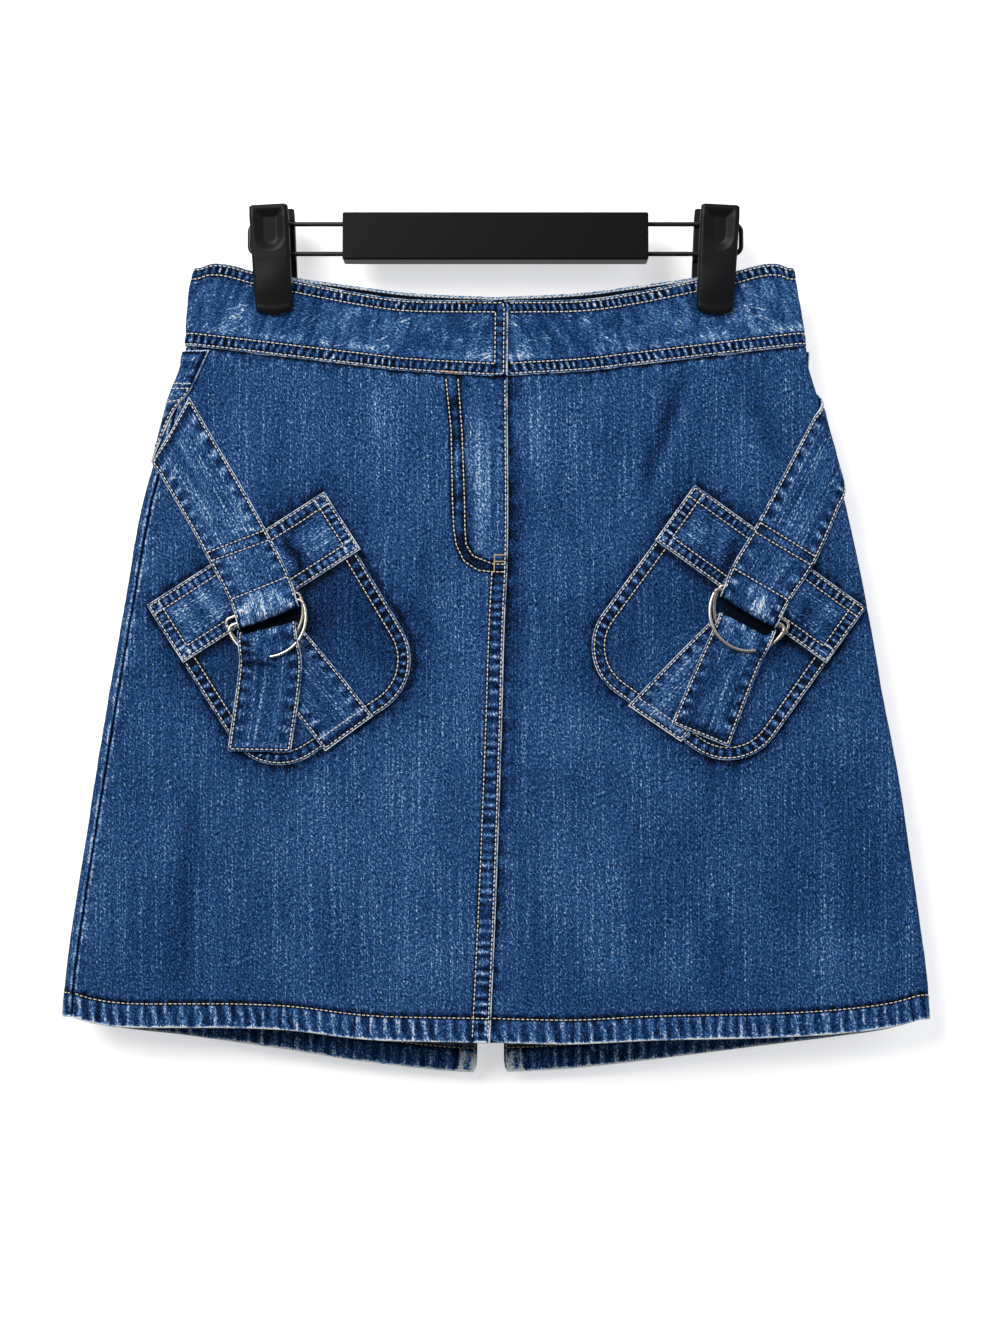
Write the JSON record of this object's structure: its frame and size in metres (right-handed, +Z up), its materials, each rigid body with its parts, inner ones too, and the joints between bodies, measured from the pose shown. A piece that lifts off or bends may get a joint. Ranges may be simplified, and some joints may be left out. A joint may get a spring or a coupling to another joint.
{
  "type": "denim a-line mini skirt on a clip hanger",
  "caption": "A-line denim mini skirt with strapped flap pockets and D-rings, held at the waist by the clips of a bar hanger.",
  "frame": {"origin": "centre of the top face of the hanger's bar, where the hanger is held", "axes": "-Y out of the skirt's front, +X to the right as seen from the front, +Z up"},
  "size_m": [0.5017, 0.0417, 0.503],
  "materials": {
    "denim": "washed mid-blue cotton twill",
    "strap_denim": "washed mid-blue cotton twill, doubled",
    "nickel": "polished nickel plate",
    "black_plastic": "satin black",
    "black_wire": "black coated steel wire"
  },
  "bodies": {
    "root": {"hanger_bar": "black_plastic", "hanger_wire": "black_wire", "clip_left_front_jaw": "black_plastic", "clip_left_rear_jaw": "black_plastic", "clip_right_front_jaw": "black_plastic", "clip_right_rear_jaw": "black_plastic", "waistband_front_left": "denim", "waistband_front_right": "denim", "waistband_back": "denim", "front_panel_left": "denim", "front_panel_right": "denim", "back_panel_left": "denim", "back_panel_right": "denim", "side_tab_left": "strap_denim", "side_tab_right": "strap_denim", "upper_strap_left": "strap_denim", "upper_strap_right": "strap_denim", "lower_strap_left": "strap_denim", "lower_strap_right": "strap_denim", "pocket_left": "denim", "pocket_right": "denim", "pocket_flap_left": "strap_denim", "pocket_flap_right": "strap_denim", "ring_inner_left": "nickel", "ring_outer_left": "nickel", "ring_inner_right": "nickel", "ring_outer_right": "nickel"}
  },
  "joints": []
}
